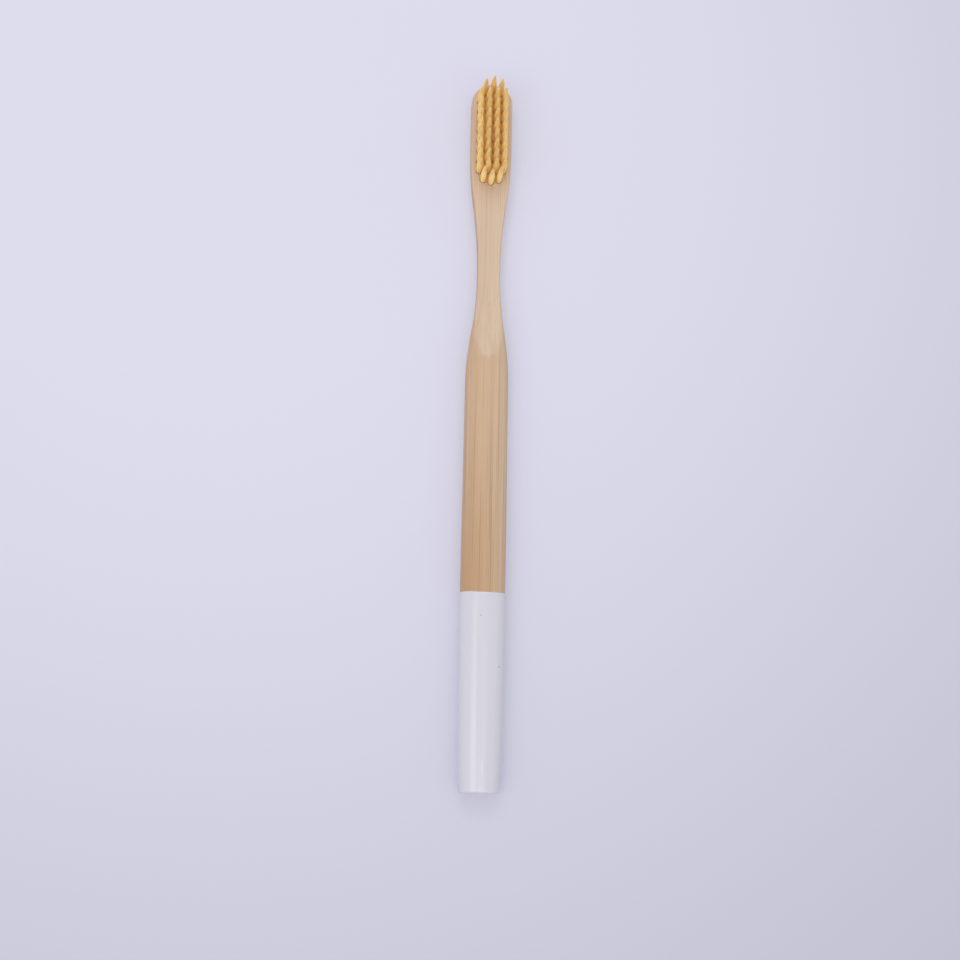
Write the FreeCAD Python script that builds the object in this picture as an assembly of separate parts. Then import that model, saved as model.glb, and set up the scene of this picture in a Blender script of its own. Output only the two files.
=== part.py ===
import FreeCAD, Part
import math
import os

from FreeCAD import Vector

# Manual toothbrush with a bamboo handle, lying on its back. Sizes are in millimetres.
# +Y runs from the tail to the head and +Z points the way the bristles do.
# The origin is the middle of the length, on the surface that the brush lies on.

# Whole brush
overall_length = 189.0
bristle_height = 10.5        # free height of a tuft above the head face

# Grip: an oval bar, widest at its belly
grip_thickness = 8.6
tail_width = 10.3
belly_width = 11.7
shoulder_width = 11.4
oval_land = 0.6              # narrow flat at the four quarters of the oval
tail_edge_round = 0.9

# Shoulder and neck: the plan narrows in one smooth curve, then flares to the head
neck_width = 6.2
shoulder_length = 32.5
flare_length = 33.4
shoulder_grip_share = 0.45   # reach of the plan curve's two ends, as shares of its length
shoulder_neck_share = 0.55
flare_bend_share = 0.57      # how far along the flare its bend turns from hollow to full

# Scoop: the front is milled down from the grip to the flat neck and head
scoop_setback = 7.8          # from the start of the shoulder to the tip of the scoop
scoop_bend_share = 0.62      # how far along its length the scoop would meet the head face
crown_keep_share = 0.9       # of the drop that the rounded crown still covers at the neck

# Tuft field: full rows, with a shorter bowed row at each end
full_rows = 8
full_columns = 4
end_columns = 3
row_web = 1.19               # wood between neighbouring holes along the head
column_web = 0.56            # and across it
end_row_tuck = 0.36          # how much closer an end row stands than a full one
end_row_bow = 0.62           # how far the middle tuft of an end row stands out
tip_margin = 1.1             # wood beyond the outermost hole, at the tip and at the sides
side_margin = 1.66
taper_rows = 2               # full rows that lie within the flare

# Head: holes in a flat plate
hole_diameter = 1.6
hole_depth = 3.4
hole_floor = 2.1             # wood left under a hole
back_edge_round = 1.5
front_edge_break = 0.3       # sloped edge round the flat front

# Tufts: round bundles, folded at the bottom of the hole, spread above it and tapered to a point
bundle_sides = 10            # flat sides of a tuft and of its hole
tuft_clearance = 0.04
fold_slope = 0.35            # sloped edge of the folded end
fold_thickness = 0.5         # bristle under the anchor
tuft_spread = 0.18           # how far the middle of a tuft stands out past its foot
tuft_tip_diameter = 0.5
taper_start_share = 0.42     # of the free height
taper_middle_share = 0.78
taper_waist_share = 0.74     # of the foot's diameter, at the middle of the taper

# Anchors: flat wire across each fold, along the grain
anchor_height = 1.5
anchor_thickness = 0.28
anchor_bite = 0.15           # into the wood at each side of the hole

# Tail coat
dip_length = 51.5
coat_thickness = 0.15

cut_overrun = 2.0            # how far cutting tools run past what they cut

# Places along the length and heights that follow from the sizes
head_end = overall_length / 2
tail_end = -overall_length / 2
wood_tail = tail_end + coat_thickness
row_pitch = hole_diameter + row_web
column_pitch = hole_diameter + column_web
end_row_pitch = row_pitch - end_row_tuck
first_row = head_end - tip_margin - hole_diameter / 2 - end_row_bow - end_row_pitch
last_row = first_row - (full_rows - 1) * row_pitch
head_start = last_row + taper_rows * row_pitch
neck_middle = head_start - flare_length
grip_end = neck_middle - shoulder_length
scoop_start = grip_end + scoop_setback
dip_line = tail_end + dip_length
head_thickness = hole_depth + hole_floor
head_width = (full_columns - 1) * column_pitch + hole_diameter + 2 * side_margin
grip_bottom = coat_thickness
grip_top = grip_bottom + grip_thickness
hole_bottom = head_thickness - hole_depth
anchor_bottom = hole_bottom + tuft_clearance + fold_thickness
tuft_radius = hole_diameter / 2 - tuft_clearance

ellipse_weight = math.sqrt(0.5)     # makes a three-pole curve a true quarter ellipse
rim_steps = 2                       # straight rings that make up the rounded tail rim
coat_steps = 5                      # straight lengths that make up the grip and the shoulder
bare_steps = 3
shoulder_steps = 8


def cubic(values, share):
    """Smooth run through the first and last of four values, drawn by the two between them."""
    rest = 1 - share
    weights = (rest ** 3, 3 * rest ** 2 * share, 3 * rest * share ** 2, share ** 3)
    return sum(weight * value for weight, value in zip(weights, values))


def blend(start, end, share):
    return start + (end - start) * share


def quarter_ellipse(start, corner, end):
    curve = Part.BezierCurve()
    curve.setPoles([start, corner, end])
    curve.setWeight(2, ellipse_weight)
    return curve.toShape()


def cross_section(y, width, bottom, top, back_side, back_rise, crown_drop):
    """Closed outline across the brush: narrow flats joined by quarter ellipses.

    back_side and back_rise are how far the back's rounded corners run inwards and upwards,
    and crown_drop is how far the front crown, which spans the width, comes down the sides.
    """
    side = width / 2
    land = oval_land / 2
    back = side - back_side
    low = bottom + back_rise
    high = top - crown_drop

    def at(x, z):
        return Vector(x, y, z)

    return Part.Wire([
        Part.makeLine(at(-back, bottom), at(back, bottom)),
        quarter_ellipse(at(back, bottom), at(side, bottom), at(side, low)),
        Part.makeLine(at(side, low), at(side, high)),
        quarter_ellipse(at(side, high), at(side, top), at(land, top)),
        Part.makeLine(at(land, top), at(-land, top)),
        quarter_ellipse(at(-land, top), at(-side, top), at(-side, high)),
        Part.makeLine(at(-side, high), at(-side, low)),
        quarter_ellipse(at(-side, low), at(-side, bottom), at(-back, bottom)),
    ])


def grip_section(y, width, grow):
    """Oval of the grip, made larger all round by grow."""
    wide = width + 2 * grow
    tall = grip_thickness + 2 * grow
    side_reach = (wide - oval_land) / 2
    reach = (tall - oval_land) / 2
    return cross_section(y, wide, grip_bottom - grow, grip_top + grow, side_reach, reach, reach)


def grip_width(y):
    """The grip swells from the tail to its belly at mid-length and eases to the shoulder."""
    bulge = (8 * belly_width - tail_width - 4 * shoulder_width) / 3
    share = (y - wood_tail) / (grip_end - wood_tail)
    return cubic((tail_width, bulge, shoulder_width, shoulder_width), share)


def tail_sections(grow):
    """Rounded rim of the tail, then the dipped length up to the edge of the coat."""
    start = wood_tail - grow
    radius = tail_edge_round + grow
    sections = []
    for step in range(rim_steps):
        angle = math.pi / 2 * step / rim_steps
        y = start + radius * (1 - math.cos(angle))
        sections.append(grip_section(y, tail_width, grow - radius * (1 - math.sin(angle))))
    for step in range(coat_steps + 1):
        y = blend(start + radius, dip_line, step / coat_steps)
        sections.append(grip_section(y, grip_width(y), grow))
    return sections


def bare_sections():
    """The undipped grip, up to the shoulder."""
    places = [blend(dip_line, grip_end, step / bare_steps) for step in range(1, bare_steps + 1)]
    return [grip_section(y, grip_width(y), 0) for y in places]


def shoulder_section(share):
    """Section of the shoulder, from the oval grip (share 0) to the square-sided neck (share 1)."""
    grip_reach = shoulder_grip_share * shoulder_length
    neck_reach = shoulder_neck_share * shoulder_length
    y = cubic((grip_end, grip_end + grip_reach, neck_middle - neck_reach, neck_middle), share)
    eased = cubic((0, 0, 1, 1), share)
    width = blend(shoulder_width, neck_width, eased)
    oval_reach = (grip_thickness - oval_land) / 2
    side_reach = blend((shoulder_width - oval_land) / 2, back_edge_round, eased)
    back_rise = blend(oval_reach, back_edge_round, eased)
    crown_drop = blend(oval_reach, crown_keep_share * (grip_top - head_thickness), eased)
    return cross_section(y, width, blend(grip_bottom, 0, eased), grip_top, side_reach, back_rise, crown_drop)


def make_blank():
    """Grip, shoulder and half the neck, before the front is milled away."""
    shoulder = [shoulder_section(step / shoulder_steps) for step in range(1, shoulder_steps + 1)]
    return Part.makeLoft(tail_sections(0) + bare_sections() + shoulder, True, True)


def make_scoop():
    """Cutter that mills the front from the grip down to the head face."""
    length = neck_middle - scoop_start
    curve = Part.BezierCurve()
    curve.setPoles([
        Vector(0, scoop_start, grip_top),
        Vector(0, scoop_start + scoop_bend_share * length, head_thickness),
        Vector(0, neck_middle, head_thickness),
    ])
    slope = (grip_top - head_thickness) / (scoop_bend_share * length)
    lead = Vector(0, scoop_start - cut_overrun, grip_top + slope * cut_overrun)
    ceiling = grip_top + slope * cut_overrun + cut_overrun
    far = neck_middle + cut_overrun
    corners = [
        Vector(0, neck_middle, head_thickness),
        Vector(0, far, head_thickness),
        Vector(0, far, ceiling),
        Vector(0, lead.y, ceiling),
        lead,
        Vector(0, scoop_start, grip_top),
    ]
    edges = [curve.toShape()]
    edges += [Part.makeLine(a, b) for a, b in zip(corners, corners[1:])]
    face = Part.Face(Part.Wire(edges))
    reach = belly_width + cut_overrun
    face.translate(Vector(-reach / 2, 0, 0))
    return face.extrude(Vector(reach, 0, 0))


def arc(centre, radius, start, end):
    """Arc in plan about a centre, between two angles in radians."""
    def at(angle):
        return centre + Vector(radius * math.cos(angle), radius * math.sin(angle), 0)

    return Part.Arc(at(start), at((start + end) / 2), at(end)).toShape()


def plate_side():
    """Right-hand outline of the neck and head, from the neck to the middle of the round tip."""
    neck = neck_width / 2
    head = head_width / 2
    turn = 2 * math.atan((head - neck) / flare_length)
    hollow = flare_bend_share * flare_length / math.sin(turn)
    full = (1 - flare_bend_share) * flare_length / math.sin(turn)
    nose = Vector(0, head_end - head, 0)
    return [
        arc(Vector(neck + hollow, neck_middle, 0), hollow, math.pi, math.pi - turn),
        arc(Vector(head - full, head_start, 0), full, -turn, 0),
        Part.makeLine(Vector(head, head_start, 0), Vector(head, nose.y, 0)),
        arc(nose, head, 0, math.pi / 2),
    ]


def make_plate():
    """Neck and head plate with its back edge rounded."""
    right = plate_side()
    left = [edge.mirror(Vector(0, 0, 0), Vector(1, 0, 0)) for edge in reversed(right)]
    foot = Part.makeLine(Vector(-neck_width / 2, neck_middle, 0), Vector(neck_width / 2, neck_middle, 0))
    outline = Part.Wire(right + left + [foot])
    plate = Part.Face(outline).extrude(Vector(0, 0, head_thickness))
    back = min(plate.Faces, key=lambda face: face.CenterOfMass.z)
    return plate.makeFillet(back_edge_round, rim_edges(back))


def rim_edges(face):
    """Edges of a flat face of the plate, without the one nearest the tail, where it joins the shoulder."""
    return sorted(face.Edges, key=lambda edge: edge.CenterOfMass.y)[1:]


def tuft_places():
    """(x, y) of every tuft, row by row from the head end."""
    def row(count, y, bow):
        half = (count - 1) / 2
        for column in range(count):
            offset = column - half
            yield offset * column_pitch, y + bow * (1 - abs(offset) / half)

    yield from row(end_columns, first_row + end_row_pitch, end_row_bow)
    for index in range(full_rows):
        yield from row(full_columns, first_row - index * row_pitch, 0)
    yield from row(end_columns, last_row - end_row_pitch, -end_row_bow)


def make_anchor(x, y):
    length = hole_diameter + 2 * anchor_bite
    corner = Vector(x - anchor_thickness / 2, y - length / 2, anchor_bottom)
    return Part.makeBox(anchor_thickness, length, anchor_height, corner)


def bundle_ring(radius, z):
    """Corners of a many-sided ring with a flat side towards the head and the tail."""
    turns = [2 * math.pi * (corner + 0.5) / bundle_sides for corner in range(bundle_sides)]
    return [Vector(radius * math.sin(turn), radius * math.cos(turn), z) for turn in turns]


def flat_face(corners):
    return Part.Face(Part.makePolygon(corners + corners[:1]))


def stacked_rings(rings):
    """Closed solid with flat sides between rings, from the lowest to the highest."""
    faces = [flat_face(rings[0]), flat_face(rings[-1])]
    for lower, upper in zip(rings, rings[1:]):
        for side in range(bundle_sides):
            faces.append(flat_face([lower[side - 1], lower[side], upper[side], upper[side - 1]]))
    return Part.makeSolid(Part.makeShell(faces))


def make_tuft(x, y, anchor):
    """Bundle standing in its hole, spread and tapered above it and slotted for its anchor."""
    low = hole_bottom + tuft_clearance
    bundle = stacked_rings([
        bundle_ring(tuft_radius - fold_slope, low),
        bundle_ring(tuft_radius, low + fold_slope),
        bundle_ring(tuft_radius, head_thickness),
        bundle_ring(tuft_radius + tuft_spread, head_thickness + taper_start_share * bristle_height),
        bundle_ring(taper_waist_share * tuft_radius, head_thickness + taper_middle_share * bristle_height),
        bundle_ring(tuft_tip_diameter / 2, head_thickness + bristle_height),
    ])
    bundle.translate(Vector(x, y, 0))
    return bundle.cut(anchor)


def make_drill(x, y):
    """What is drilled out of the head for one tuft."""
    radius = hole_diameter / 2
    drill = stacked_rings([bundle_ring(radius, hole_bottom), bundle_ring(radius, head_thickness + cut_overrun)])
    drill.translate(Vector(x, y, 0))
    return drill


def make_handle(places, anchors):
    """Bamboo handle with its milled front, broken edges, tuft holes and anchor slits."""
    body = make_blank().cut(make_scoop()).fuse(make_plate())
    front = max(body.Faces, key=lambda face: face.Area * face.normalAt(0, 0).z)
    body = body.makeChamfer(front_edge_break, rim_edges(front))
    drills = [make_drill(x, y) for x, y in places]
    return body.cut(Part.makeCompound(drills)).cut(Part.makeCompound(anchors))


def make_coat(handle):
    """Thin closed sleeve of lacquer over the tail."""
    return Part.makeLoft(tail_sections(coat_thickness), True, True).cut(handle)


def main():
    os.makedirs("parts", exist_ok=True)
    places = list(tuft_places())
    anchors = [make_anchor(x, y) for x, y in places]
    handle = make_handle(places, anchors)
    nodes = {
        "bamboo_handle": handle,
        "tail_dip_coat": make_coat(handle),
        "tuft_anchors": Part.makeCompound(anchors),
    }
    for number, ((x, y), anchor) in enumerate(zip(places, anchors), start=1):
        nodes[f"bristle_tuft_{number:02d}"] = make_tuft(x, y, anchor)
    for name, shape in nodes.items():
        shape.exportStep(f"parts/{name}.step")
        print(name, len(shape.Solids), "solids", round(shape.Volume, 2), "mm3", shape.isValid())


main()
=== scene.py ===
import math
import random

import bmesh
import bpy
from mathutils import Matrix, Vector


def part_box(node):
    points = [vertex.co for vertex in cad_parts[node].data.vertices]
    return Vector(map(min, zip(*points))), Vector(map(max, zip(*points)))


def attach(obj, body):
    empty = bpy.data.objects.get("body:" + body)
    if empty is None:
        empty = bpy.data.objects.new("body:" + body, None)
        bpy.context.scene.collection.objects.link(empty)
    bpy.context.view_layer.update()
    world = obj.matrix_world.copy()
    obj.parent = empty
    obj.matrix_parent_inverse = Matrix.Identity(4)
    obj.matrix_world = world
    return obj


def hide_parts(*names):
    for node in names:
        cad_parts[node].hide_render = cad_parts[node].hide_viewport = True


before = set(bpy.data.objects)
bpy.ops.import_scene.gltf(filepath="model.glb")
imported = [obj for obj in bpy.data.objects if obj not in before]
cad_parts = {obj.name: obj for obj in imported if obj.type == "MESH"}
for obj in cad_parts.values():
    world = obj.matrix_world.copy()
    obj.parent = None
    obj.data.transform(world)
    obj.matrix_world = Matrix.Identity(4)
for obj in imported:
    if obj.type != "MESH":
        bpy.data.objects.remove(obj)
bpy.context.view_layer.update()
mm = 0.001  # every size below is in millimetres, and meshes are in metres
print("frame loaded with", len(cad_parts), "CAD nodes")


def boxOf(node):
    low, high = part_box(node)
    return low / mm, high / mm


def blend(start, end, share):
    return start + (end - start) * share


def smooth(share):
    share = min(max(share, 0), 1)
    return share * share * (3 - 2 * share)


def cubic(values, share):
    rest = 1 - share
    weights = (rest ** 3, 3 * rest ** 2 * share, 3 * rest * share ** 2, share ** 3)
    return sum(weight * value for weight, value in zip(weights, values))


def spread(start, end, count):
    return [blend(start, end, step / count) for step in range(count + 1)]


def addPiece(name, mesh, material, node):
    piece = bpy.data.objects.new(name, mesh)
    bpy.context.scene.collection.objects.link(piece)
    mesh.materials.append(material)
    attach(piece, "root")
    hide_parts(node)
    return piece


def meshFrom(bm, name):
    mesh = bpy.data.meshes.new(name)
    bm.to_mesh(mesh)
    bm.free()
    return mesh


# shader building blocks

def srgb(red, green, blue):
    def linear(value):
        value /= 255
        return value / 12.92 if value <= 0.04045 else ((value + 0.055) / 1.055) ** 2.4

    return (linear(red), linear(green), linear(blue), 1)


def put(tree, kind, inputs=None, **settings):
    node = tree.nodes.new("ShaderNode" + kind)
    for name, value in settings.items():
        setattr(node, name, value)
    for name, value in (inputs or {}).items():
        socket = node.inputs[name]
        if isinstance(value, bpy.types.NodeSocket):
            tree.links.new(value, socket)
        else:
            socket.default_value = value
    return node


def mixColour(tree, factor, first, second, mode="MIX"):
    node = put(tree, "Mix", {0: factor, 6: first, 7: second}, data_type="RGBA", blend_type=mode)
    return node.outputs[2]


def calc(tree, operation, first, second=0.0):
    return put(tree, "Math", {0: first, 1: second}, operation=operation).outputs[0]


def ramp(tree, value, fromLow, fromHigh, toLow=0.0, toHigh=1.0):
    inputs = {"Value": value, "From Min": fromLow, "From Max": fromHigh, "To Min": toLow, "To Max": toHigh}
    return put(tree, "MapRange", inputs, interpolation_type="SMOOTHSTEP").outputs["Result"]


def rampAt(tree, distance, low, high, toLow=0.0, toHigh=1.0):
    return ramp(tree, distance, low * mm, high * mm, toLow, toHigh)


def place(tree):
    return put(tree, "TexCoord").outputs["Object"]


def stretched(tree, density):
    return put(tree, "VectorMath", {0: place(tree), 1: density}, operation="MULTIPLY").outputs[0]


def attribute(tree, name):
    return put(tree, "Attribute", attribute_name=name).outputs["Fac"]


def darken(tree, colour, mask, amount, tint):
    return mixColour(tree, calc(tree, "MULTIPLY", mask, amount), colour, tint, "MULTIPLY")


def addRough(tree, shader, mask, share, least):
    rough = calc(tree, "ADD", calc(tree, "MULTIPLY", mask, share), least)
    tree.links.new(rough, shader.inputs["Roughness"])


def addBump(tree, shader, height, bump):
    node = put(tree, "Bump", {"Height": height, **bump})
    tree.links.new(node.outputs[0], shader.inputs["Normal"])


def startMaterial(name, **constants):
    material = bpy.data.materials.new(name)
    material.use_nodes = True
    tree = material.node_tree
    tree.nodes.clear()
    shader = put(tree, "BsdfPrincipled")
    for socket, value in constants.items():
        shader.inputs[socket.replace("_", " ")].default_value = value
    put(tree, "OutputMaterial", {"Surface": shader.outputs[0]})
    return material, tree, shader


def startGroup(name, inputs, outputs):
    tree = bpy.data.node_groups.new(name, "ShaderNodeTree")
    for title, kind, value in inputs:
        socket = tree.interface.new_socket(title, in_out="INPUT", socket_type="NodeSocket" + kind)
        socket.default_value = value
    for title in outputs:
        tree.interface.new_socket(title, in_out="OUTPUT", socket_type="NodeSocketFloat")
    return tree, tree.nodes.new("NodeGroupInput"), tree.nodes.new("NodeGroupOutput")


def useGroup(tree, group, **inputs):
    node = tree.nodes.new("ShaderNodeGroup")
    node.node_tree = group
    for name, value in inputs.items():
        node.inputs[name].default_value = value
    return node.outputs


streakShape = {               # scale and detail, and where the tone starts and ends
    "Tone": (1.0, 2.0, 0.3, 0.7),
    "Fine": (3.7, 3.0, 0.28, 0.72),
}

mottleShape = {
    "detail": 3.0,
    "from": 0.3,
    "to": 0.7,
}


def makeStreakGroup(shape):
    inputs = [("Density", "Vector", (1000, 50, 1000)), ("Seed", "Float", 0.0)]
    tree, given, result = startGroup("streaks", inputs, shape)
    spot = stretched(tree, given.outputs["Density"])
    for title, (scale, detail, low, high) in shape.items():
        inputs = {"Vector": spot, "W": given.outputs["Seed"], "Scale": scale, "Detail": detail}
        noise = put(tree, "TexNoise", inputs, noise_dimensions="4D")
        tree.links.new(ramp(tree, noise.outputs[0], low, high), result.inputs[title])
    return tree


def makeMottleGroup(shape):
    inputs = [("Scale", "Float", 200.0), ("Seed", "Float", 0.0)]
    tree, given, result = startGroup("mottle", inputs, ("Patch",))
    inputs = {"Vector": place(tree), "W": given.outputs["Seed"], "Scale": given.outputs["Scale"],
              "Detail": shape["detail"]}
    noise = put(tree, "TexNoise", inputs, noise_dimensions="4D")
    tree.links.new(ramp(tree, noise.outputs[0], shape["from"], shape["to"]), result.inputs["Patch"])
    return tree


streakGroup = makeStreakGroup(streakShape)
mottleGroup = makeMottleGroup(mottleShape)
print("shader groups built")


# bamboo

bambooLook = {
    "dipEnd": srgb(186, 151, 116),      # wood beside the dip
    "gripFront": srgb(200, 169, 138),
    "milled": srgb(207, 181, 156),      # freshly cut neck and head
    "vein": srgb(142, 102, 66),
    "pale": srgb(218, 197, 172),        # inner side of the stalk, on the right, where it is also painted light against the shade; also the random pale streaks
    # painted shade inside the holes, partly wood darkened by the drilling
    "holeShadeAndBurn": srgb(120, 78, 42),
    "between": srgb(238, 192, 108),     # painted golden light from the bristles on the wood between the tufts
    "betweenFrom": 0.85,
    "bands": {"Density": (620, 9, 300), "Seed": 1.3},
    "fibres": {"Density": (2600, 34, 900), "Seed": 4.1},
    "lines": {"Density": (1500, 5.5, 500), "Seed": 7.4},
    "patches": {"Scale": 160.0, "Seed": 2.0},
    "veinTone": (0.72, 0.95),           # the fine lines turn into veins from here on
    "paleTone": (0.25, 0.05),
    "dipShade": (-50, 12),              # along the handle, from the dip's colour to the grip's
    "paleAndLitSide": (-2, 6, 0.0, 0.4),      # across the handle, and how much there: paler right side, partly painted light
    "veinSide": (30, -45, 0.22, 0.5),   # along the handle, and how much there
    "paleAmount": 0.25,
    "bandDark": (0.26, (0.84, 0.80, 0.74, 1)),     # amount and tint
    "fibreDark": (0.20, (0.85, 0.80, 0.74, 1)),
    "fineDark": (0.16, (0.86, 0.82, 0.76, 1)),
    "patchDark": (0.10, (0.88, 0.84, 0.78, 1)),
    "rough": (0.16, 0.44),              # share of the fibres, and least
    "veinDepth": -1.2,
    "bump": {"Strength": 0.25, "Distance": 0.06 * mm},
}


def makeBamboo(look):
    material, tree, shader = startMaterial("bamboo", Coat_Weight=0.08, Coat_Roughness=0.35, IOR=1.45)
    parts = put(tree, "SeparateXYZ", {0: place(tree)}).outputs
    bands = useGroup(tree, streakGroup, **look["bands"])
    fibres = useGroup(tree, streakGroup, **look["fibres"])
    lines = useGroup(tree, streakGroup, **look["lines"])
    patch = useGroup(tree, mottleGroup, **look["patches"])["Patch"]
    vein = ramp(tree, lines["Fine"], *look["veinTone"])
    pale = ramp(tree, lines["Tone"], *look["paleTone"])

    colour = mixColour(tree, rampAt(tree, parts["Y"], *look["dipShade"]), look["dipEnd"], look["gripFront"])
    colour = mixColour(tree, attribute(tree, "milled"), colour, look["milled"])
    # paler right side: painted light against the shade there, partly the stalk's paler inner side
    colour = mixColour(tree, rampAt(tree, parts["X"], *look["paleAndLitSide"]), colour, look["pale"])
    colour = darken(tree, colour, bands["Tone"], *look["bandDark"])
    colour = darken(tree, colour, fibres["Tone"], *look["fibreDark"])
    colour = darken(tree, colour, fibres["Fine"], *look["fineDark"])
    nearDip = rampAt(tree, parts["Y"], *look["veinSide"])
    colour = mixColour(tree, calc(tree, "MULTIPLY", vein, nearDip), colour, look["vein"])
    colour = mixColour(tree, calc(tree, "MULTIPLY", pale, look["paleAmount"]), colour, look["pale"])
    colour = darken(tree, colour, patch, *look["patchDark"])
    # painted golden light of the bristles on the wood between the tufts
    between = ramp(tree, attribute(tree, "between"), look["betweenFrom"], 1.0)
    colour = mixColour(tree, between, colour, look["between"])
    # painted shade in the holes, partly wood darkened by the drilling
    colour = mixColour(tree, attribute(tree, "holeShadeAndBurn"), colour, look["holeShadeAndBurn"])
    tree.links.new(colour, shader.inputs["Base Color"])

    addRough(tree, shader, fibres["Fine"], *look["rough"])
    height = calc(tree, "ADD", fibres["Fine"], calc(tree, "MULTIPLY", vein, look["veinDepth"]))
    addBump(tree, shader, height, look["bump"])
    return material


# handle: the same sections as the solid, with every edge rounded

handleLow, handleHigh = boxOf("bamboo_handle")
coatLow, coatHigh = boxOf("tail_dip_coat")
tuftNames = sorted(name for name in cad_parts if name.startswith("bristle_tuft"))

handleShape = {
    "tailWidth": 10.3,
    "bellyWidth": 11.7,
    "shoulderWidth": 11.4,
    "thickness": 8.6,
    "land": 0.3,              # half of the narrow flat on the crown
    "landRound": 0.1,
    "tailRound": 0.55,
    "neckWidth": 5.95,
    "shoulderLength": 32.5,
    "shoulderBend": 0.5,      # share of the shoulder where its two curves meet
    "flareLength": 33.4,
    "flareBend": 0.57,
    "headWidth": 10.95,
    "headThickness": 5.5,
    "headLength": 18.9,       # from the end of the flare to the tip
    "scoopSetback": 7.8,
    "scoopBend": 0.62,
    "scoopPoint": 0.016,      # the cut colour runs ahead in the middle, as a share per square millimetre
    "scoopFade": 14,          # how sharply that colour starts
    "crownKeep": 0.9,
    "backRound": 1.5,
    "frontRound": 0.42,
    "scoopRound": 0.8,        # softer edge where the scoop leaves the crown
    "scoopSharp": 0.8,        # share of the scoop after which its edge is as sharp as the head's
    "flatKeep": 0.5,          # an edge takes no more than this share of the flat beside it
    "holeRadius": 0.8,
    "holeDepth": 3.4,
    "holeSides": 24,
    "rimRound": 0.08,
    "rimMiddle": 0.3,         # share of the rounding at the middle of the rim
    "rimShade": (0.35, 0.8),  # painted shade at the middle and at the end of the rim, partly wood darkened by the drilling
    "floorCone": 0.3,
    "floorShare": 0.5,        # of the hole's radius, at the end of the cone
    "holeReach": 3.4,         # holes nearer than this are neighbours
    "holeTurn": math.radians(100),   # and stand less than this apart, as seen from a hole
    "fieldLead": 6,           # the front is one flat from this far before the first tuft
    "weld": 0.002,
    "tailSteps": 5,
    "gripSteps": 44,
    "shoulderSteps": 64,
    "headSteps": 60,
    "noseSteps": 32,
}

onGrip, onHead = -1, 2        # how far the scoop has come, where there is none and where it is done
curvePoints = 40              # points on each part of a section
wallPoints = 8
bandPoints = 46
roundPoints = 6
flatPoints = 5


def handlePlaces(shape):
    headEnd = handleHigh.y
    headStart = headEnd - shape["headLength"]
    neck = headStart - shape["flareLength"]
    gripEnd = neck - shape["shoulderLength"]
    return {"tail": handleLow.y, "gripEnd": gripEnd, "scoop": gripEnd + shape["scoopSetback"], "neck": neck,
            "headStart": headStart, "headEnd": headEnd, "bottom": -coatLow.z + (coatHigh.z - handleHigh.z),
            "top": handleHigh.z}


def gripWidth(shape, places, y):
    # the curve's second point is where it takes the belly's width halfway along
    bulge = (8 * shape["bellyWidth"] - shape["tailWidth"] - 4 * shape["shoulderWidth"]) / 3
    share = (y - places["tail"]) / (places["gripEnd"] - places["tail"])
    return cubic((shape["tailWidth"], bulge, shape["shoulderWidth"], shape["shoulderWidth"]), share)


def sideCurve(section, cut):
    # dense line from the front edge over the crown, down the side and round the back corner
    side, land, high = section["side"], section["land"], section["top"] - section["crownDrop"]
    low = section["bottom"] + section["backRise"]
    rise = min(max((cut - high) / section["crownDrop"], 0), 1)
    points = []
    for angle in spread(math.asin(rise), 0, curvePoints):
        x = land + (side - land) * math.cos(angle)
        points.append((x, high + section["crownDrop"] * math.sin(angle)))
    if cut < high:
        points = [(side, cut)]
    points += [(side, blend(points[-1][1], low, share)) for share in spread(0, 1, wallPoints)[1:]]
    for angle in spread(0, math.pi / 2, curvePoints)[1:]:
        x = side - section["backSide"] * (1 - math.cos(angle))
        points.append((x, low - section["backRise"] * math.sin(angle)))
    return points


def resample(points, distances):
    runs = [0]
    for first, second in zip(points, points[1:]):
        runs.append(runs[-1] + math.dist(first, second))
    found = []
    index = 0
    for distance in distances:
        distance = min(distance, runs[-1])
        while index < len(runs) - 2 and runs[index + 1] < distance:
            index += 1
        length = runs[index + 1] - runs[index]
        share = (distance - runs[index]) / length if length else 0
        found.append(tuple(blend(a, b, share) for a, b in zip(points[index], points[index + 1])))
    return found


def edgeBand(section, cut, rounding):
    # (inset from the side, height) from the front flat, round the edge, to the back flat
    curve = sideCurve(section, cut)
    corner = curve[0]
    total = sum(math.dist(a, b) for a, b in zip(curve, curve[1:]))
    start = (corner[0] - rounding, corner[1])
    end = resample(curve, [rounding])[0]
    band = []
    for share in spread(0, 1, roundPoints):
        first = [blend(a, b, share) for a, b in zip(start, corner)]
        second = [blend(a, b, share) for a, b in zip(corner, end)]
        band.append(tuple(blend(a, b, share) for a, b in zip(first, second)))
    band += resample(curve, spread(rounding, total, bandPoints)[1:])
    return [(section["side"] - x, z) for x, z in band]


def ovalSection(shape, places, width, grow):
    tall = shape["thickness"] + 2 * grow
    reach = tall / 2 - shape["land"]
    side = width / 2 + grow
    return {"side": side, "land": shape["land"], "bottom": places["bottom"] - grow, "top": places["top"] + grow,
            "backSide": side - shape["land"], "backRise": reach, "crownDrop": reach}


def scoopHeight(shape, places, y):
    if y <= places["scoop"]:
        return places["top"]
    if y >= places["neck"]:
        return shape["headThickness"]
    length = places["neck"] - places["scoop"]
    bend = shape["scoopBend"] * length
    square = length - 2 * bend
    share = (-bend + math.sqrt(bend * bend + square * (y - places["scoop"]))) / square
    return shape["headThickness"] + (places["top"] - shape["headThickness"]) * (1 - share) ** 2


def straightStation(y, section, cut, rounding, along):
    # along is how far the scoop has come, from 0 at its start to 1 at the neck
    return {"centre": (0, y), "edge": (section["side"], y), "normal": (1, 0), "along": along,
            "band": edgeBand(section, cut, rounding)}


def milledAt(shape, along, x):
    return smooth((along - shape["scoopPoint"] * x * x) * shape["scoopFade"])


def isMilled(shape, station):
    return milledAt(shape, station["along"], 0) == 1


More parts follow.
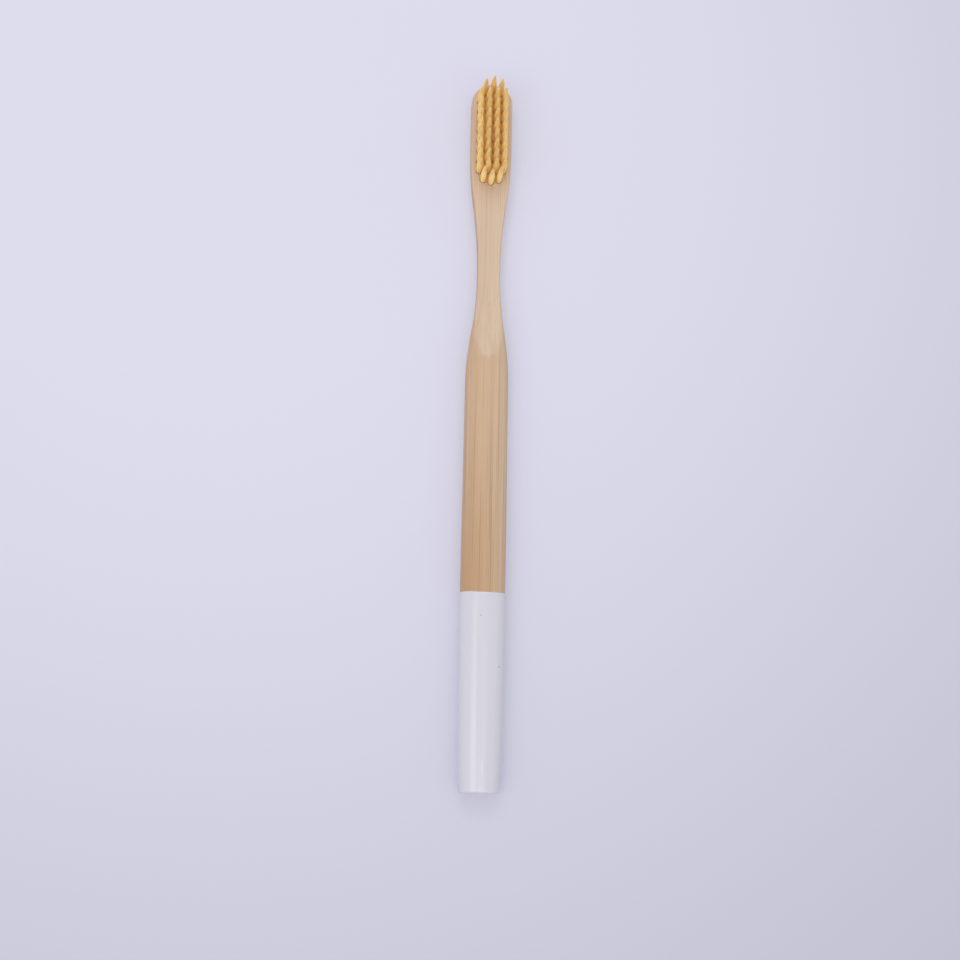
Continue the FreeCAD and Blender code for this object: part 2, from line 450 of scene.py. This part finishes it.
def gripStations(shape, places):
    stations = []
    start = places["tail"] + shape["tailRound"]
    for angle in spread(0, math.pi / 2, shape["tailSteps"])[:-1]:
        grow = -shape["tailRound"] * (1 - math.sin(angle))
        y = start - shape["tailRound"] * math.cos(angle)
        section = ovalSection(shape, places, shape["tailWidth"], grow)
        stations.append(straightStation(y, section, section["top"], shape["landRound"], onGrip))
    for y in spread(start, places["gripEnd"], shape["gripSteps"])[:-1]:
        section = ovalSection(shape, places, gripWidth(shape, places, y), 0)
        stations.append(straightStation(y, section, section["top"], shape["landRound"], onGrip))
    return stations


def shoulderStations(shape, places):
    length = shape["shoulderLength"]
    reach = (shape["thickness"] - 2 * shape["land"]) / 2
    start = places["gripEnd"]
    bend = start + shape["shoulderBend"] * length
    run = (start, bend, bend, places["neck"])
    stations = []
    for share in spread(0, 1, shape["shoulderSteps"])[:-1]:
        y = cubic(run, share)
        eased = cubic((0, 0, 1, 1), share)
        side = blend(shape["shoulderWidth"], shape["neckWidth"], eased) / 2
        drop = shape["crownKeep"] * (places["top"] - shape["headThickness"])
        section = {
            "side": side,
            "land": shape["land"],
            "bottom": blend(places["bottom"], 0, eased),
            "top": places["top"],
            "backSide": blend(shape["shoulderWidth"] / 2 - shape["land"], shape["backRound"], eased),
            "backRise": blend(reach, shape["backRound"], eased),
            "crownDrop": blend(reach, drop, eased),
        }
        cut = scoopHeight(shape, places, y)
        along = (y - places["scoop"]) / (places["neck"] - places["scoop"])
        wanted = blend(shape["scoopRound"], shape["frontRound"], smooth(along / shape["scoopSharp"]))
        depth = min(max(places["top"] - cut, 0) / section["crownDrop"], 1)
        flat = section["land"] + (side - section["land"]) * math.sqrt(depth * (2 - depth))
        rounding = shape["landRound"]
        if along > 0:
            rounding = max(rounding, min(wanted, shape["flatKeep"] * flat))
        stations.append(straightStation(y, section, cut, rounding, along))
    return stations


def plateSection(shape, side):
    # its crown lies above the cut, so that the wall below stays upright
    drop = shape["headThickness"] / 4
    return {"side": side, "land": shape["land"], "bottom": 0, "top": shape["headThickness"] + 2 * drop,
            "backSide": shape["backRound"], "backRise": shape["backRound"], "crownDrop": drop}


def flareSide(shape, places, y):
    neck, head = shape["neckWidth"] / 2, shape["headWidth"] / 2
    turn = 2 * math.atan((head - neck) / shape["flareLength"])
    hollow = shape["flareBend"] * shape["flareLength"] / math.sin(turn)
    full = (1 - shape["flareBend"]) * shape["flareLength"] / math.sin(turn)
    if y < places["neck"] + shape["flareBend"] * shape["flareLength"]:
        return neck + hollow - math.sqrt(hollow ** 2 - (y - places["neck"]) ** 2)
    if y < places["headStart"]:
        return head - full + math.sqrt(full ** 2 - (places["headStart"] - y) ** 2)
    return head


def headStations(shape, places):
    head = shape["headWidth"] / 2
    nose = (0, places["headEnd"] - head)
    stations = []
    for y in spread(places["neck"], nose[1], shape["headSteps"])[:-1]:
        section = plateSection(shape, flareSide(shape, places, y))
        stations.append(straightStation(y, section, shape["headThickness"], shape["frontRound"], onHead))
    band = edgeBand(plateSection(shape, head), shape["headThickness"], shape["frontRound"])
    for angle in spread(0, math.pi / 2, shape["noseSteps"]):
        normal = (math.cos(angle), math.sin(angle))
        edge = (head * normal[0], nose[1] + head * normal[1])
        stations.append({"centre": nose, "edge": edge, "normal": normal, "along": onHead, "band": band})
    return stations


def halfRing(shape, station):
    # right half of a section: (x, y, z, milled) from the middle of the front to the middle of the back
    edge, normal, centre = station["edge"], station["normal"], station["centre"]
    band = []
    for step, (inset, z) in enumerate(station["band"]):
        x, y = edge[0] - normal[0] * inset, edge[1] - normal[1] * inset
        band.append((x, y, z, milledAt(shape, station["along"], x) * max(0, 1 - step / roundPoints)))
    front, back = band[0], band[-1]
    ring = []
    for share in spread(0, 1, flatPoints)[:-1]:
        x, y = blend(centre[0], front[0], share), blend(centre[1], front[1], share)
        ring.append((x, y, front[2], milledAt(shape, station["along"], x)))
    ring += band
    for share in spread(0, 1, flatPoints)[1:]:
        ring.append((blend(back[0], centre[0], share), blend(back[1], centre[1], share), back[2], 0))
    return ring


def wholeRing(shape, station):
    right = halfRing(shape, station)
    return right + [(-x, y, z, milled) for x, y, z, milled in reversed(right[1:-1])]


def inField(shape, spot, angle, spots):
    # 1 where the direction out of a hole lies between two of its neighbours, 0 at the border of the field
    turns = []
    for other in spots:
        away = (other[0] - spot[0], other[1] - spot[1])
        if 0 < math.hypot(*away) < shape["holeReach"]:
            turns.append((math.atan2(away[1], away[0]) - angle) % (2 * math.pi))
    return min(turns) + 2 * math.pi - max(turns) < shape["holeTurn"]


def drillHoles(bm, shape, holeShadeAndBurnLayer, betweenLayer, milledLayer):
    # rounded rim, wall and pointed floor of each hole; gives back the rims' edges for the front face
    rims = []
    face, radius, rim, sides = (shape[name] for name in ("headThickness", "holeRadius", "rimRound", "holeSides"))
    floor = face - shape["holeDepth"]
    middle = rim * shape["rimMiddle"]
    levels = [                # radius, height and painted shade, partly wood darkened by the drilling
        (radius + rim, face, 0),
        (radius + middle, face - middle, shape["rimShade"][0]),
        (radius, face - rim, shape["rimShade"][1]),
        (radius, floor + shape["floorCone"], 1),
        (radius * shape["floorShare"], floor, 1),
    ]
    boxes = [boxOf(name) for name in tuftNames]
    spots = [((low.x + high.x) / 2, (low.y + high.y) / 2) for low, high in boxes]
    for x, y in spots:
        loops = []
        for reach, z, holeShadeAndBurn in levels:
            loop = []
            for side in range(sides):
                angle = 2 * math.pi * side / sides
                vert = bm.verts.new(Vector((x + reach * math.cos(angle), y + reach * math.sin(angle), z)) * mm)
                vert[holeShadeAndBurnLayer] = holeShadeAndBurn
                # marks where the painted golden bristle light lies on the front
                vert[betweenLayer] = inField(shape, (x, y), angle, spots)
                vert[milledLayer] = 1
                loop.append(vert)
            loops.append(loop)
        for upper, lower in zip(loops, loops[1:]):
            for side in range(sides):
                quad = (upper[side - 1], lower[side - 1], lower[side], upper[side])
                bm.faces.new(quad).smooth = True
        bm.faces.new(loops[-1])
        rims += [bm.edges.get((loops[0][side - 1], loops[0][side])) for side in range(sides)]
    return rims


def makeHandle(shape, material):
    places = handlePlaces(shape)
    stations = gripStations(shape, places) + shoulderStations(shape, places) + headStations(shape, places)
    bm = bmesh.new()
    milledLayer = bm.verts.layers.float.new("milled")
    holeShadeAndBurnLayer = bm.verts.layers.float.new("holeShadeAndBurn")
    betweenLayer = bm.verts.layers.float.new("between")
    rings = []
    for station in stations:
        ring = []
        for x, y, z, milled in wholeRing(shape, station):
            vert = bm.verts.new(Vector((x, y, z)) * mm)
            vert[milledLayer] = milled
            ring.append(vert)
        rings.append(ring)

    fieldStart = min(boxOf(name)[0].y for name in tuftNames) - shape["fieldLead"]
    firstField = next(i for i, s in enumerate(stations) if s["edge"][1] >= fieldStart and isMilled(shape, s))
    count = len(rings[0])
    frontSteps = set(range(flatPoints)) | set(range(count - flatPoints, count))
    backMiddle = count // 2
    for index, (ring, after) in enumerate(zip(rings, rings[1:])):
        for step in range(count):
            if index >= firstField and step in frontSteps:
                continue  # filled below, round the holes
            following = (step + 1) % count
            face = bm.faces.new((ring[step], ring[following], after[following], after[step]))
            onBack = abs(step + 0.5 - backMiddle) < flatPoints and isMilled(shape, stations[index])
            face.smooth = not onBack
    bm.faces.new(rings[0])

    pairs = []
    for ring, after in zip(rings[firstField:], rings[firstField + 1:]):
        pairs += [(ring[step], after[step]) for step in (flatPoints, count - flatPoints)]
    across = rings[firstField]
    pairs += [(across[step], across[(step + 1) % count]) for step in frontSteps]
    outline = [bm.edges.get(pair) or bm.edges.new(pair) for pair in pairs]
    holes = drillHoles(bm, shape, holeShadeAndBurnLayer, betweenLayer, milledLayer)
    loose = [vert for vert in bm.verts if not vert.link_edges]
    bmesh.ops.delete(bm, geom=loose, context="VERTS")
    bmesh.ops.triangle_fill(bm, use_beauty=True, use_dissolve=False, edges=outline + holes)
    bmesh.ops.remove_doubles(bm, verts=bm.verts[:], dist=shape["weld"] * mm)
    bmesh.ops.recalc_face_normals(bm, faces=bm.faces[:])
    mesh = meshFrom(bm, "bambooHandle")
    addPiece("bambooHandle", mesh, material, "bamboo_handle")
    print("handle built:", len(mesh.polygons), "faces")


makeHandle(handleShape, makeBamboo(bambooLook))


# white dip on the tail

lacquerLook = {
    "white": srgb(206, 205, 213),
    "thin": srgb(198, 196, 202),         # where the coat is drawn thin over the wood
    "thinAmount": 0.25,
    "grain": {"Density": (520, 7, 520), "Seed": 8.2},
    "speck": srgb(120, 112, 108),
    "specks": [(-0.55, -49.5, 0.17), (4.46, -62.5, 0.2)],    # x, y and radius
    "speckCore": 0.4,                    # share of the radius that is fully dark
    "paintedGleam": srgb(232, 232, 238),
    "paintedGleams": [(0.4, -85.9, -90.1, 0.09)],                   # painted highlight streak: x, from y, to y and half width
    "paintedGleamCore": (0.3, 0.6),             # shares of width and length that are fully light
    "paintedGleamAmount": 0.6,
    "front": (4, 5),                     # specks and the painted highlight lie above this height
    "rough": (0.06, 0.2),                # share of the grain, and least
    "bump": {"Strength": 0.15, "Distance": 0.08 * mm},
}

coatShape = {
    "thickness": 0.15,
    "lip": 0.35,               # length over which the edge of the coat rounds down to the wood
    "ripple": 0.07,            # unevenness of the dip line
    "slant": 0.015,            # the dip line drops to the right, as a share of the distance across
    "short": 0.42,             # and ends this far short of the solid's
    "fade": 3.0,               # length over which the unevenness of the dip line dies away
    "lift": 0.004,             # inside face, just off the wood
    "waves": [(3, 0.6, 0.5), (5, 2.1, 0.3), (9, 0, 0.2)],    # of the dip line: count, phase and share
    "endSteps": 10,
    "lengthSteps": 40,
    "lipSteps": 8,
    "insideSteps": 12,
    "rimSteps": 5,
}


def makeLacquer(look):
    material, tree, shader = startMaterial("dipLacquer", Roughness=0.24, IOR=1.5, Coat_Weight=0.35,
                                           Coat_Roughness=0.12)
    parts = put(tree, "SeparateXYZ", {0: place(tree)}).outputs
    flat = stretched(tree, (1, 1, 0))
    front = rampAt(tree, parts["Z"], *look["front"])
    grain = useGroup(tree, streakGroup, **look["grain"])["Tone"]
    colour = mixColour(tree, calc(tree, "MULTIPLY", grain, look["thinAmount"]), look["white"], look["thin"])
    for x, y, radius in look["specks"]:
        away = put(tree, "VectorMath", {0: flat, 1: (x * mm, y * mm, 0)}, operation="DISTANCE").outputs["Value"]
        speck = rampAt(tree, away, radius, radius * look["speckCore"])
        colour = mixColour(tree, calc(tree, "MULTIPLY", speck, front), colour, look["speck"])
    # painted highlight streaks on the coat
    for x, start, end, half in look["paintedGleams"]:
        reach = abs(start - end) / 2
        across = calc(tree, "ABSOLUTE", calc(tree, "SUBTRACT", parts["X"], x * mm))
        along = calc(tree, "ABSOLUTE", calc(tree, "SUBTRACT", parts["Y"], (start + end) / 2 * mm))
        across = rampAt(tree, across, half, half * look["paintedGleamCore"][0])
        along = rampAt(tree, along, reach, reach * look["paintedGleamCore"][1])
        paintedGleam = calc(tree, "MULTIPLY", calc(tree, "MULTIPLY", across, along), front)
        colour = mixColour(tree, calc(tree, "MULTIPLY", paintedGleam, look["paintedGleamAmount"]), colour, look["paintedGleam"])
    tree.links.new(colour, shader.inputs["Base Color"])
    addRough(tree, shader, grain, *look["rough"])
    addBump(tree, shader, grain, look["bump"])
    return material


def coatRings(shape, places):
    # (y, grow) from the middle of the tail end, over the rim, along to the lip and back inside
    start = coatLow.y
    radius = handleShape["tailRound"] + shape["thickness"]
    lipStart = coatHigh.y - shape["lip"]
    rings = []
    for angle in spread(0, math.pi / 2, shape["endSteps"])[:-1]:
        rings.append((start + radius * (1 - math.cos(angle)), shape["thickness"] - radius * (1 - math.sin(angle))))
    for y in spread(start + radius, lipStart, shape["lengthSteps"])[:-1]:
        rings.append((y, shape["thickness"]))
    for angle in spread(0, math.pi / 2, shape["lipSteps"]):
        grow = blend(shape["lift"], shape["thickness"], math.cos(angle))
        rings.append((lipStart + shape["lip"] * math.sin(angle), grow))
    for y in spread(lipStart, places["tail"] + handleShape["tailRound"], shape["insideSteps"]):
        rings.append((y, shape["lift"]))
    for angle in spread(math.pi / 2, 0, shape["rimSteps"])[1:]:
        y = places["tail"] - shape["lift"] + handleShape["tailRound"] * (1 - math.cos(angle))
        rings.append((y, shape["lift"] - handleShape["tailRound"] * (1 - math.sin(angle))))
    return rings


def makeCoat(shape, material):
    places = handlePlaces(handleShape)
    rimEnd = places["tail"] + handleShape["tailRound"]
    lipStart = coatHigh.y - shape["lip"]
    bm = bmesh.new()
    rings = []
    for y, grow in coatRings(shape, places):
        carry = smooth(1 + (y - lipStart) / shape["fade"])
        width = gripWidth(handleShape, places, y) if y > rimEnd else handleShape["tailWidth"]
        section = ovalSection(handleShape, places, width, grow)
        station = straightStation(y, section, section["top"], handleShape["landRound"], onGrip)
        ring = []
        for x, around, z, milled in wholeRing(handleShape, station):
            turn = math.atan2(z - places["top"] / 2, x)
            wave = sum(share * math.sin(count * turn + phase) for count, phase, share in shape["waves"])
            shift = shape["ripple"] * wave - shape["slant"] * x - shape["short"]
            ring.append(bm.verts.new(Vector((x, around + carry * shift, z)) * mm))
        rings.append(ring)
    for ring, after in zip(rings, rings[1:]):
        for step in range(len(ring)):
            bm.faces.new((ring[step - 1], ring[step], after[step], after[step - 1])).smooth = True
    bm.faces.new(rings[0])
    bm.faces.new(rings[-1])
    bmesh.ops.recalc_face_normals(bm, faces=bm.faces[:])
    mesh = meshFrom(bm, "tailDipCoat")
    addPiece("tailDipCoat", mesh, material, "tail_dip_coat")
    print("dip coat built:", len(mesh.polygons), "faces")


makeCoat(coatShape, makeLacquer(lacquerLook))


# bristle tufts

bristleLook = {
    # the deeper, more saturated gold at the roots is painted shade of the deep gaps, and the paler tips are
    # painted light
    "root": srgb(255, 212, 100),
    "body": srgb(255, 222, 130),
    "tip": srgb(255, 230, 172),
    "rootEnd": (4.5, 10.5),    # heights between which the roots' colour turns into the body's
    "tipStart": (12.5, 16),
    "streaks": {"Density": (2400, 2400, 120), "Seed": 3.0},
    "strandDark": (0.12, (0.94, 0.82, 0.66, 1)),   # amount and tint
    "streakDark": (0.15, (0.95, 0.86, 0.74, 1)),
    "rough": (0.14, 0.36),     # share of the streaks, and least
}

tuftShape = {
    "strands": 23,             # folded strands, each with two legs
    "strandRadius": 0.1,
    "tipRadius": 0.05,
    "thinStart": 0.55,         # share of the free height from which a strand gets thinner
    "bundleRadius": 0.66,      # of the legs' middles, where the tuft leaves the head
    "leastReach": 0.01,        # legs at the rim of the bundle keep this width across the slot
    "swell": 0.1,              # how far the middle of a tuft spreads, as a share of its radius
    "taperStart": 0.5,         # share of the free height
    "taperPower": 1.3,
    "tipShare": 0.44,          # of the bundle's radius, at the points
    "unevenTips": 2.2,
    "slotHalf": 0.25,          # legs stand at least this far off the middle, beside the anchor
    "anchorStops": (0.1, 0.55, 1.0),   # points of a leg beside the anchor, as shares of its height
    "easeAcross": 0.6,         # the next point is this far on its way to the leg's place
    "easeUp": 0.55,            # and this far from the anchor to the mouth of the hole
    "legSteps": 12,
    "crowding": 1.35,          # points on a leg lie closer towards its tip
    "foldGap": 0.02,           # between the anchor and the strands folded under it
    "foldSpread": 0.2,
    "foldSteps": 6,
    "coreShare": 0.96,         # packed strands inside a tuft, as a share of the bundle's radius
    "coreRoot": (-0.12, -0.06),    # levels of the core inside the hole
    "coreClose": 0.6,          # share of the free height from which the core gets narrower
    "coreTop": 0.84,
    "coreEnd": 0.02,           # least share of its section, at the top
    "coreSteps": 14,
    "coreTone": 0.5,
    "lean": 0.06,              # at the points, either way
    "brushed": 0.02,           # all tufts lean this far to the right
    "twist": 0.05,             # of a whole tuft at the points, in radians
    "leastTwist": 0.3,         # share of it
    "wander": 0.05,
    "sides": 6,
    "seed": 7,
    "seedStep": 100,           # each tuft has draws of its own
}


def makeBristle(look):
    material, tree, shader = startMaterial("bristle", Roughness=0.42, IOR=1.53, Specular_IOR_Level=0.2,
                                           Diffuse_Roughness=1.0, Sheen_Weight=1.0, Sheen_Roughness=0.8,
                                           Sheen_Tint=(1, 0.78, 0.4, 1))
    height = put(tree, "SeparateXYZ", {0: place(tree)}).outputs["Z"]
    streaks = useGroup(tree, streakGroup, **look["streaks"])
    # root to tip: painted shade low in the tuft, painted light at the tips
    colour = mixColour(tree, rampAt(tree, height, *look["rootEnd"]), look["root"], look["body"])
    colour = mixColour(tree, rampAt(tree, height, *look["tipStart"]), colour, look["tip"])
    colour = darken(tree, colour, attribute(tree, "strand"), *look["strandDark"])
    colour = darken(tree, colour, streaks["Fine"], *look["streakDark"])
    tree.links.new(colour, shader.inputs["Base Color"])
    addRough(tree, shader, streaks["Tone"], *look["rough"])
    return material


def bundleScale(shape, share):
    late = max(0, share - shape["taperStart"]) / (1 - shape["taperStart"])
    full = 1 + shape["swell"] * smooth(share / shape["taperStart"])
    return full * (1 - (1 - shape["tipShare"]) * late ** shape["taperPower"])


def legPath(shape, rng, spot, tuft):
    # middle line of one leg, from beside the anchor up to the point
    x, y = spot
    reach = math.sqrt(max(shape["bundleRadius"] ** 2 - y * y, shape["leastReach"] ** 2))
    room = max(reach - shape["slotHalf"], 0)
    slotX = math.copysign(shape["slotHalf"] + room * min(abs(x) / reach, 1), x)
    face, top = tuft["face"], tuft["top"] - rng.random() ** 2 * shape["unevenTips"]
    sway = (rng.uniform(-1, 1) * shape["wander"], rng.uniform(-1, 1) * shape["wander"])
    path = [(slotX, y, blend(tuft["anchorLow"], tuft["anchorHigh"], share)) for share in shape["anchorStops"]]
    path.append((blend(slotX, x, shape["easeAcross"]), y, blend(tuft["anchorHigh"], face, shape["easeUp"])))
    for share in spread(0, 1, shape["legSteps"]):
        level = 1 - (1 - share) ** shape["crowding"]
        bend = level * level
        angle = tuft["twist"] * bend
        scale = bundleScale(shape, level)
        px, py = x * scale, y * scale
        path.append((
            px * math.cos(angle) - py * math.sin(angle) + bend * (tuft["lean"][0] + sway[0]),
            px * math.sin(angle) + py * math.cos(angle) + bend * (tuft["lean"][1] + sway[1]),
            blend(face, top, level),
        ))
    return path


def strandPath(shape, rng, spots, tuft):
    # from the point of one leg down, under the anchor and up to the point of the other
    first, second = (legPath(shape, rng, spot, tuft) for spot in spots)
    low = tuft["anchorLow"] - shape["strandRadius"] - shape["foldGap"] - rng.random() * shape["foldSpread"]
    a, b = first[0], second[0]
    fold = [(blend(a[0], b[0], share), blend(a[1], b[1], share), blend(a[2], low, math.sin(share * math.pi)))
            for share in spread(0, 1, shape["foldSteps"])[1:-1]]
    return list(reversed(first)) + fold + second


def coreTube(shape, tuft):
    # the packed inside of a tuft, from above the anchor to under the points
    path, radii = [], []
    close, top = shape["coreClose"], shape["coreTop"]
    for level in [*shape["coreRoot"], *spread(0, top, shape["coreSteps"])]:
        full = shape["coreShare"] * shape["bundleRadius"] * bundleScale(shape, max(level, 0))
        bend = max(level, 0) ** 2
        path.append((bend * tuft["lean"][0], bend * tuft["lean"][1], blend(tuft["face"], tuft["top"], level)))
        radii.append(full * math.sqrt(max(shape["coreEnd"], 1 - smooth((level - close) / (top - close)))))
    return path, radii


def strandRadii(shape, path, tuft):
    start = shape["thinStart"]
    radii = []
    for x, y, z in path:
        share = max(0, (z - tuft["face"]) / (tuft["top"] - tuft["face"]))
        radii.append(blend(shape["strandRadius"], shape["tipRadius"], smooth((share - start) / (1 - start))))
    return radii


def addTube(path, radii, sides, verts, faces):
    base = len(verts)
    points = [Vector(point) for point in path]
    side = Vector((0, 1, 0))
    for index, (point, radius) in enumerate(zip(points, radii)):
        ahead = points[min(index + 1, len(points) - 1)] - points[max(index - 1, 0)]
        ahead.normalize()
        side = side - ahead * side.dot(ahead)
        side.normalize()
        other = ahead.cross(side)
        for corner in range(sides):
            angle = 2 * math.pi * corner / sides
            verts.append((point + radius * (side * math.cos(angle) + other * math.sin(angle))) * mm)
    for ring in range(len(points) - 1):
        for corner in range(sides):
            after = (corner + 1) % sides
            low, high = base + ring * sides, base + (ring + 1) * sides
            faces.append((low + corner, low + after, high + after, high + corner))
    faces.append(tuple(base + corner for corner in reversed(range(sides))))
    last = base + (len(points) - 1) * sides
    faces.append(tuple(last + corner for corner in range(sides)))
    return len(points) * sides


def legSpots(shape, rng):
    # legs fill the round tuft evenly, and each strand joins a leg on the left to one on the right
    count = 2 * shape["strands"]
    golden = math.pi * (3 - math.sqrt(5))
    offset = rng.uniform(0, 2 * math.pi)
    spots = []
    for index in range(count):
        radius = shape["bundleRadius"] * math.sqrt((index + 0.5) / count)
        angle = offset + index * golden
        spots.append((radius * math.cos(angle), radius * math.sin(angle)))
    spots.sort()
    left = sorted(spots[:shape["strands"]], key=lambda spot: spot[1])
    right = sorted(spots[shape["strands"]:], key=lambda spot: spot[1])
    return list(zip(left, right))


def makeTuft(name, shape, material, anchors):
    low, high = boxOf(name)
    middle = Vector(((low.x + high.x) / 2, (low.y + high.y) / 2, 0))
    rng = random.Random(shape["seed"] * shape["seedStep"] + int(name[-2:]))
    tuft = {
        "face": handleShape["headThickness"],
        "top": high.z,
        "anchorLow": anchors[0].z,
        "anchorHigh": anchors[1].z,
        "lean": (shape["brushed"] + rng.uniform(-1, 1) * shape["lean"], rng.uniform(-1, 1) * shape["lean"]),
        "twist": rng.uniform(shape["leastTwist"], 1) * shape["twist"],
    }
    verts, faces, tones = [], [], []
    for spots in legSpots(shape, rng):
        path = strandPath(shape, rng, spots, tuft)
        radii = strandRadii(shape, path, tuft)
        moved = [(middle.x + x, middle.y + y, z) for x, y, z in path]
        made = addTube(moved, radii, shape["sides"], verts, faces)
        tones += [rng.random()] * made
    path, radii = coreTube(shape, tuft)
    moved = [(middle.x + x, middle.y + y, z) for x, y, z in path]
    tones += [shape["coreTone"]] * addTube(moved, radii, 2 * shape["sides"], verts, faces)
    mesh = bpy.data.meshes.new(name)
    mesh.from_pydata(verts, [], faces)
    mesh.polygons.foreach_set("use_smooth", [True] * len(faces))
    mesh.attributes.new("strand", "FLOAT", "POINT").data.foreach_set("value", tones)
    return addPiece("tuft" + name.split("_")[-1], mesh, material, name)


bristle = makeBristle(bristleLook)
anchorBox = boxOf("tuft_anchors")
tufts = [makeTuft(name, tuftShape, bristle, anchorBox) for name in tuftNames]
print("tufts built:", len(tufts), "with", sum(len(tuft.data.polygons) for tuft in tufts), "faces")


# brass anchors stay as the CAD made them

brassLook = {
    "brass": srgb(196, 158, 84),
    "dull": srgb(150, 112, 58),
    "drawn": {"Density": (9000, 400, 9000), "Seed": 6.0},
    "patches": {"Scale": 1500.0, "Seed": 9.0},
    "rough": (0.2, 0.25),      # share of the drawing lines, and least
    "bump": {"Strength": 0.2, "Distance": 0.02 * mm},
}


def makeBrass(look):
    material, tree, shader = startMaterial("anchorBrass", Metallic=1.0)
    drawn = useGroup(tree, streakGroup, **look["drawn"])
    patch = useGroup(tree, mottleGroup, **look["patches"])["Patch"]
    tree.links.new(mixColour(tree, patch, look["brass"], look["dull"]), shader.inputs["Base Color"])
    addRough(tree, shader, drawn["Fine"], *look["rough"])
    addBump(tree, shader, drawn["Tone"], look["bump"])
    return material


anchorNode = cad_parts["tuft_anchors"]
anchorNode.data.materials.clear()
anchorNode.data.materials.append(makeBrass(brassLook))
print("anchors dressed")


# floor, light and camera

floorLook = {
    "colour": srgb(217, 216, 232),
    "lit": 0.42,               # share of what the camera sees that shadows don't reach
    "paintedLightCentre": (-60, 100),      # painted pool of light: the floor gets darker away from here
    "fallOff": (70, 370),      # from and to these distances
    "paintedFalloffDarkest": (0.72, 0.72, 0.72, 1),
    "patches": {"Scale": 9.0, "Seed": 1.0},
    "patchDark": (0.03, (0.9, 0.9, 0.92, 1)),      # amount and tint
    "half": 1500,
    "drop": 0.05,              # under the brush, so that faces don't coincide
}

lightSetup = {                 # lamps in metres and watts
    "world": 0.70,
    "worldColour": srgb(252, 252, 255),
    "key": {"at": (-0.35, -0.3, 0.8), "size": (0.6, 0.6), "power": 2.0},
    "top": {"at": (-0.1, 0.55, 0.95), "size": (0.5, 0.5), "power": 2.1},
    "fill": {"at": (0.3, -0.45, 0.9), "size": (0.25, 0.9), "power": 1.1},
}

cameraSetup = {
    "at": (-26.48, -84.7, 450.7),
    "turn": (8.98, -3.32, 1.39),   # degrees about one axis, as a rotation vector
    "lens": 64.84,
    "sensor": 36.0,
    "clipStart": 10,
}


def makeFloor(look):
    bm = bmesh.new()
    bmesh.ops.create_grid(bm, x_segments=1, y_segments=1, size=look["half"] * mm)
    bmesh.ops.translate(bm, verts=bm.verts[:], vec=(0, 0, -look["drop"] * mm))
    mesh = meshFrom(bm, "floor")
    floor = bpy.data.objects.new("floor", mesh)
    bpy.context.scene.collection.objects.link(floor)
    material, tree, shader = startMaterial("paleFloor", Roughness=0.85, Specular_IOR_Level=0.2)
    patch = useGroup(tree, mottleGroup, **look["patches"])["Patch"]
    shade = darken(tree, look["colour"], patch, *look["patchDark"])
    paintedLightCentre = Vector((*look["paintedLightCentre"], 0)) * mm
    away = put(tree, "VectorMath", {0: place(tree), 1: paintedLightCentre}, operation="DISTANCE").outputs["Value"]
    # painted pool of light: the floor darkens away from its centre
    shade = mixColour(tree, rampAt(tree, away, *look["fallOff"]), shade, look["paintedFalloffDarkest"], "MULTIPLY")
    tree.links.new(shade, shader.inputs["Base Color"])
    rays = put(tree, "LightPath").outputs
    seen = rays["Is Camera Ray"]
    for kind in ("Is Glossy Ray", "Is Transmission Ray"):
        seen = calc(tree, "MAXIMUM", seen, rays[kind])
    even = put(tree, "Emission", {"Color": shade, "Strength": 1.0}).outputs[0]
    share = calc(tree, "MULTIPLY", seen, look["lit"])
    surface = put(tree, "MixShader", {0: share, 1: shader.outputs[0], 2: even}).outputs[0]
    tree.links.new(surface, tree.nodes["Material Output"].inputs["Surface"])
    mesh.materials.append(material)


def addLamp(name, setup):
    lamp = bpy.data.lights.new(name, "AREA")
    lamp.shape = "RECTANGLE"
    lamp.size, lamp.size_y = setup["size"]
    lamp.energy = setup["power"]
    holder = bpy.data.objects.new(name, lamp)
    bpy.context.scene.collection.objects.link(holder)
    holder.location = setup["at"]
    holder.rotation_euler = (-Vector(setup["at"])).to_track_quat("-Z", "Y").to_euler()


def makeLight(setup):
    world = bpy.data.worlds.new("studio")
    bpy.context.scene.world = world
    world.use_nodes = True
    background = world.node_tree.nodes["Background"]
    background.inputs["Color"].default_value = setup["worldColour"]
    background.inputs["Strength"].default_value = setup["world"]
    for name in ("key", "top", "fill"):
        addLamp(name, setup[name])


def makeCamera(setup):
    camera = bpy.data.cameras.new("camera")
    camera.lens = setup["lens"]
    camera.sensor_width = setup["sensor"]
    camera.clip_start = setup["clipStart"] * mm
    holder = bpy.data.objects.new("camera", camera)
    bpy.context.scene.collection.objects.link(holder)
    turn = Vector(setup["turn"])
    holder.rotation_mode = "AXIS_ANGLE"
    axis = turn.normalized()
    holder.rotation_axis_angle = (math.radians(turn.length), axis.x, axis.y, axis.z)
    holder.location = Vector(setup["at"]) * mm
    bpy.context.scene.camera = holder


makeFloor(floorLook)
makeLight(lightSetup)
makeCamera(cameraSetup)
bpy.context.scene.view_settings.view_transform = "Standard"
print("floor, light and camera set")
